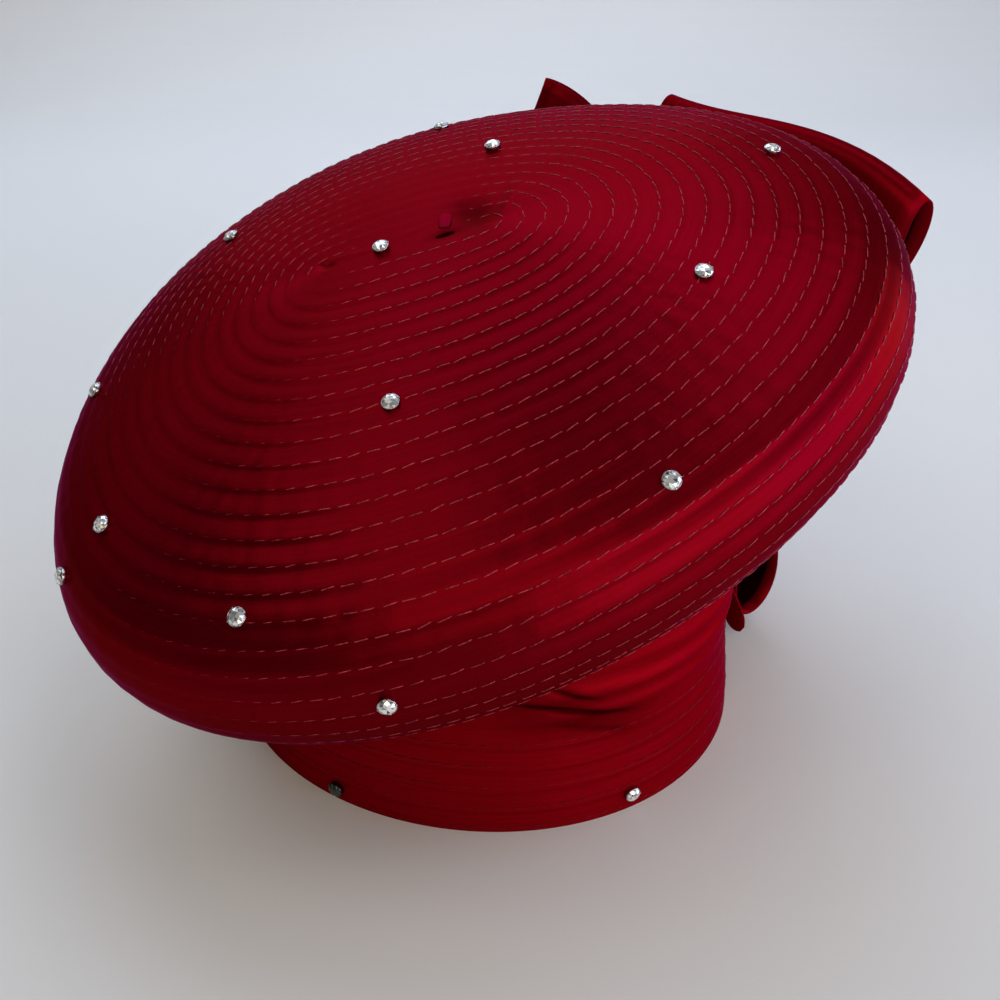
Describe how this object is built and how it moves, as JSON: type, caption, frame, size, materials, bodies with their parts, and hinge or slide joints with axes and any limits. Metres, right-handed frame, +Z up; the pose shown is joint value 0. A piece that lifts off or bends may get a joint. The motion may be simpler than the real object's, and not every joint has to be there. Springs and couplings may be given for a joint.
{
  "type": "satin tam dress hat",
  "caption": "Oval satin tam dress hat of overlapping sewn ribbon rows, tilted on a head-size band, with a ribbon bow at the side and claw-set crystal stones.",
  "frame": {"origin": "middle of the hat's box, on the surface that the band's lower edge stands on", "axes": "+X towards the wearer's side with the bow, -Y towards the side seen in the picture, +Z up; the tam rises towards +X and +Y"},
  "size_m": [0.3292, 0.2844, 0.2095],
  "materials": {
    "satin": "deep crimson satin, soft sheen, sewn in overlapping rows with fine stitches",
    "ribbon": "deep crimson satin ribbon, smooth, soft sheen",
    "crystal": "clear faceted crystal with a polished claw setting"
  },
  "bodies": {
    "root": {"tam": "satin", "band": "satin", "bow_loop_upper": "ribbon", "bow_loop_rear": "ribbon", "bow_loop_lower": "ribbon", "bow_tail_lower": "ribbon", "bow_knot": "ribbon", "stone_01": "crystal", "stone_02": "crystal", "stone_03": "crystal", "stone_04": "crystal", "stone_05": "crystal", "stone_06": "crystal", "stone_07": "crystal", "stone_08": "crystal", "stone_09": "crystal", "stone_10": "crystal", "stone_11": "crystal", "stone_12": "crystal", "stone_13": "crystal", "stone_14": "crystal", "stone_15": "crystal", "stone_16": "crystal", "stone_17": "crystal", "stone_18": "crystal", "stone_19": "crystal", "stone_20": "crystal", "stone_21": "crystal", "stone_22": "crystal", "stone_23": "crystal", "stone_24": "crystal"}
  },
  "joints": []
}
